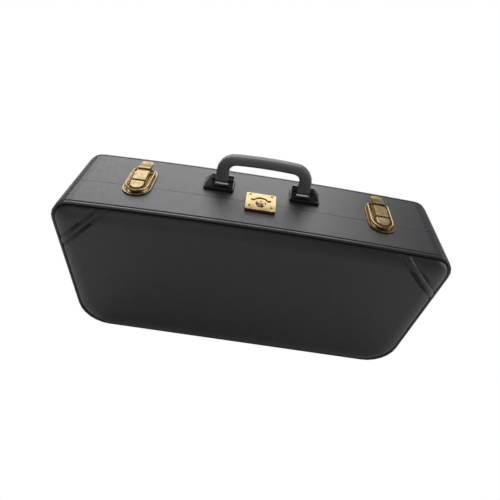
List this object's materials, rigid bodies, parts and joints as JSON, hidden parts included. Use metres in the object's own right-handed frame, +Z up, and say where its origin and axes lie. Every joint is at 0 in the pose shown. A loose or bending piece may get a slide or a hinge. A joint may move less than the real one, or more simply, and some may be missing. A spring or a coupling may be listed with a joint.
{
  "type": "saxophone case",
  "caption": "Hard case for an alto saxophone with padded faces, hinged lid, folding handle, drawbolt latches, key lock and a fitted plush interior.",
  "frame": {"origin": "centre of the bounding box at its bottom, with the case standing on its hinge side", "axes": "+X along the case, +Y from the lid to the base, +Z up to the handle"},
  "size_m": [0.6304, 0.1842, 0.3385],
  "materials": {
    "leatherette": "black grained leatherette",
    "piping_vinyl": "black vinyl piping",
    "antique_brass": "aged brass plating",
    "lock_brass": "bright brass",
    "black_plastic": "glossy black",
    "handle_plastic": "satin charcoal",
    "plush": "dark red plush",
    "rubber": "matt black"
  },
  "bodies": {
    "base": {"back_panel": "leatherette", "back_patch_left": "leatherette", "back_patch_right": "leatherette", "back_piping": "piping_vinyl", "base_shell": "leatherette", "box_lid_pin_left": "antique_brass", "box_lid_pin_right": "antique_brass", "foot_rear_left": "rubber", "foot_rear_right": "rubber", "handle_bracket_left": "black_plastic", "handle_bracket_right": "black_plastic", "handle_pin_left": "antique_brass", "handle_pin_right": "antique_brass", "hinge_leaf_base_left": "antique_brass", "hinge_leaf_base_middle": "antique_brass", "hinge_leaf_base_right": "antique_brass", "hinge_pin_left": "antique_brass", "hinge_pin_middle": "antique_brass", "hinge_pin_right": "antique_brass", "latch_base_left": "antique_brass", "latch_base_right": "antique_brass", "latch_pin_left": "antique_brass", "latch_pin_right": "antique_brass", "lining_band": "plush", "lock_keeper": "lock_brass", "lock_screw_keeper_left": "lock_brass", "lock_screw_keeper_right": "lock_brass", "plush_tray": "plush", "saddle_middle": "plush", "saddle_right": "plush"},
    "lid": {"foot_front_left": "rubber", "foot_front_right": "rubber", "front_panel": "leatherette", "front_patch_left": "leatherette", "front_patch_right": "leatherette", "front_piping": "piping_vinyl", "hinge_leaf_lid_left": "antique_brass", "hinge_leaf_lid_middle": "antique_brass", "hinge_leaf_lid_right": "antique_brass", "latch_catch_left": "antique_brass", "latch_catch_right": "antique_brass", "lid_lining": "plush", "lid_shell": "leatherette", "lock_plate": "lock_brass", "lock_screw_plate_left": "lock_brass", "lock_screw_plate_right": "lock_brass"},
    "handle": {"handle": "handle_plastic"},
    "lock_plug": {"lock_plug": "lock_brass"},
    "box_lid": {"box_lid": "plush", "box_lid_tab": "leatherette"},
    "latch_lever_left": {"latch_lever_left": "antique_brass"},
    "latch_bail_left": {"latch_bail_left": "antique_brass"},
    "latch_lever_right": {"latch_lever_right": "antique_brass"},
    "latch_bail_right": {"latch_bail_right": "antique_brass"}
  },
  "joints": [
    {"name": "lid_hinge", "type": "hinge", "parent": "base", "child": "lid", "pos_m": [0, -0.015, 0.0061], "axis": [1, 0, 0], "range_deg": [0, 100]},
    {"name": "handle_swing", "type": "hinge", "parent": "base", "child": "handle", "pos_m": [0.0032, 0.023, 0.2918], "axis": [1, 0, 0], "range_deg": [-75, 75]},
    {"name": "latch_lever_left", "type": "hinge", "parent": "base", "child": "latch_lever_left", "pos_m": [-0.19768, -0.0068, 0.28071], "axis": [0.9996, 0, 0.0272], "range_deg": [0, 90]},
    {"name": "latch_bail_left", "type": "hinge", "parent": "latch_lever_left", "child": "latch_bail_left", "pos_m": [-0.19766, 0.0325, 0.28011], "axis": [0.9996, 0, 0.0272], "range_deg": [-70, 0]},
    {"name": "latch_lever_right", "type": "hinge", "parent": "base", "child": "latch_lever_right", "pos_m": [0.20408, -0.0068, 0.28053], "axis": [0.9996, 0, -0.0281], "range_deg": [0, 90]},
    {"name": "latch_bail_right", "type": "hinge", "parent": "latch_lever_right", "child": "latch_bail_right", "pos_m": [0.20407, 0.0325, 0.27993], "axis": [0.9996, 0, -0.0281], "range_deg": [-70, 0]},
    {"name": "lock_turn", "type": "hinge", "parent": "lid", "child": "lock_plug", "pos_m": [0.0032, -0.022, 0.2768], "axis": [0.0004, 0, 1], "range_deg": [0, 90]},
    {"name": "box_lid_hinge", "type": "hinge", "parent": "base", "child": "box_lid", "pos_m": [0.164, -0.0022, 0.2064], "axis": [1, 0, 0], "range_deg": [-90, 0]}
  ],
  "couplings": [
    {"joint": "latch_bail_left", "follows": "latch_lever_left", "ratio": -0.76},
    {"joint": "latch_bail_right", "follows": "latch_lever_right", "ratio": -0.76}
  ]
}
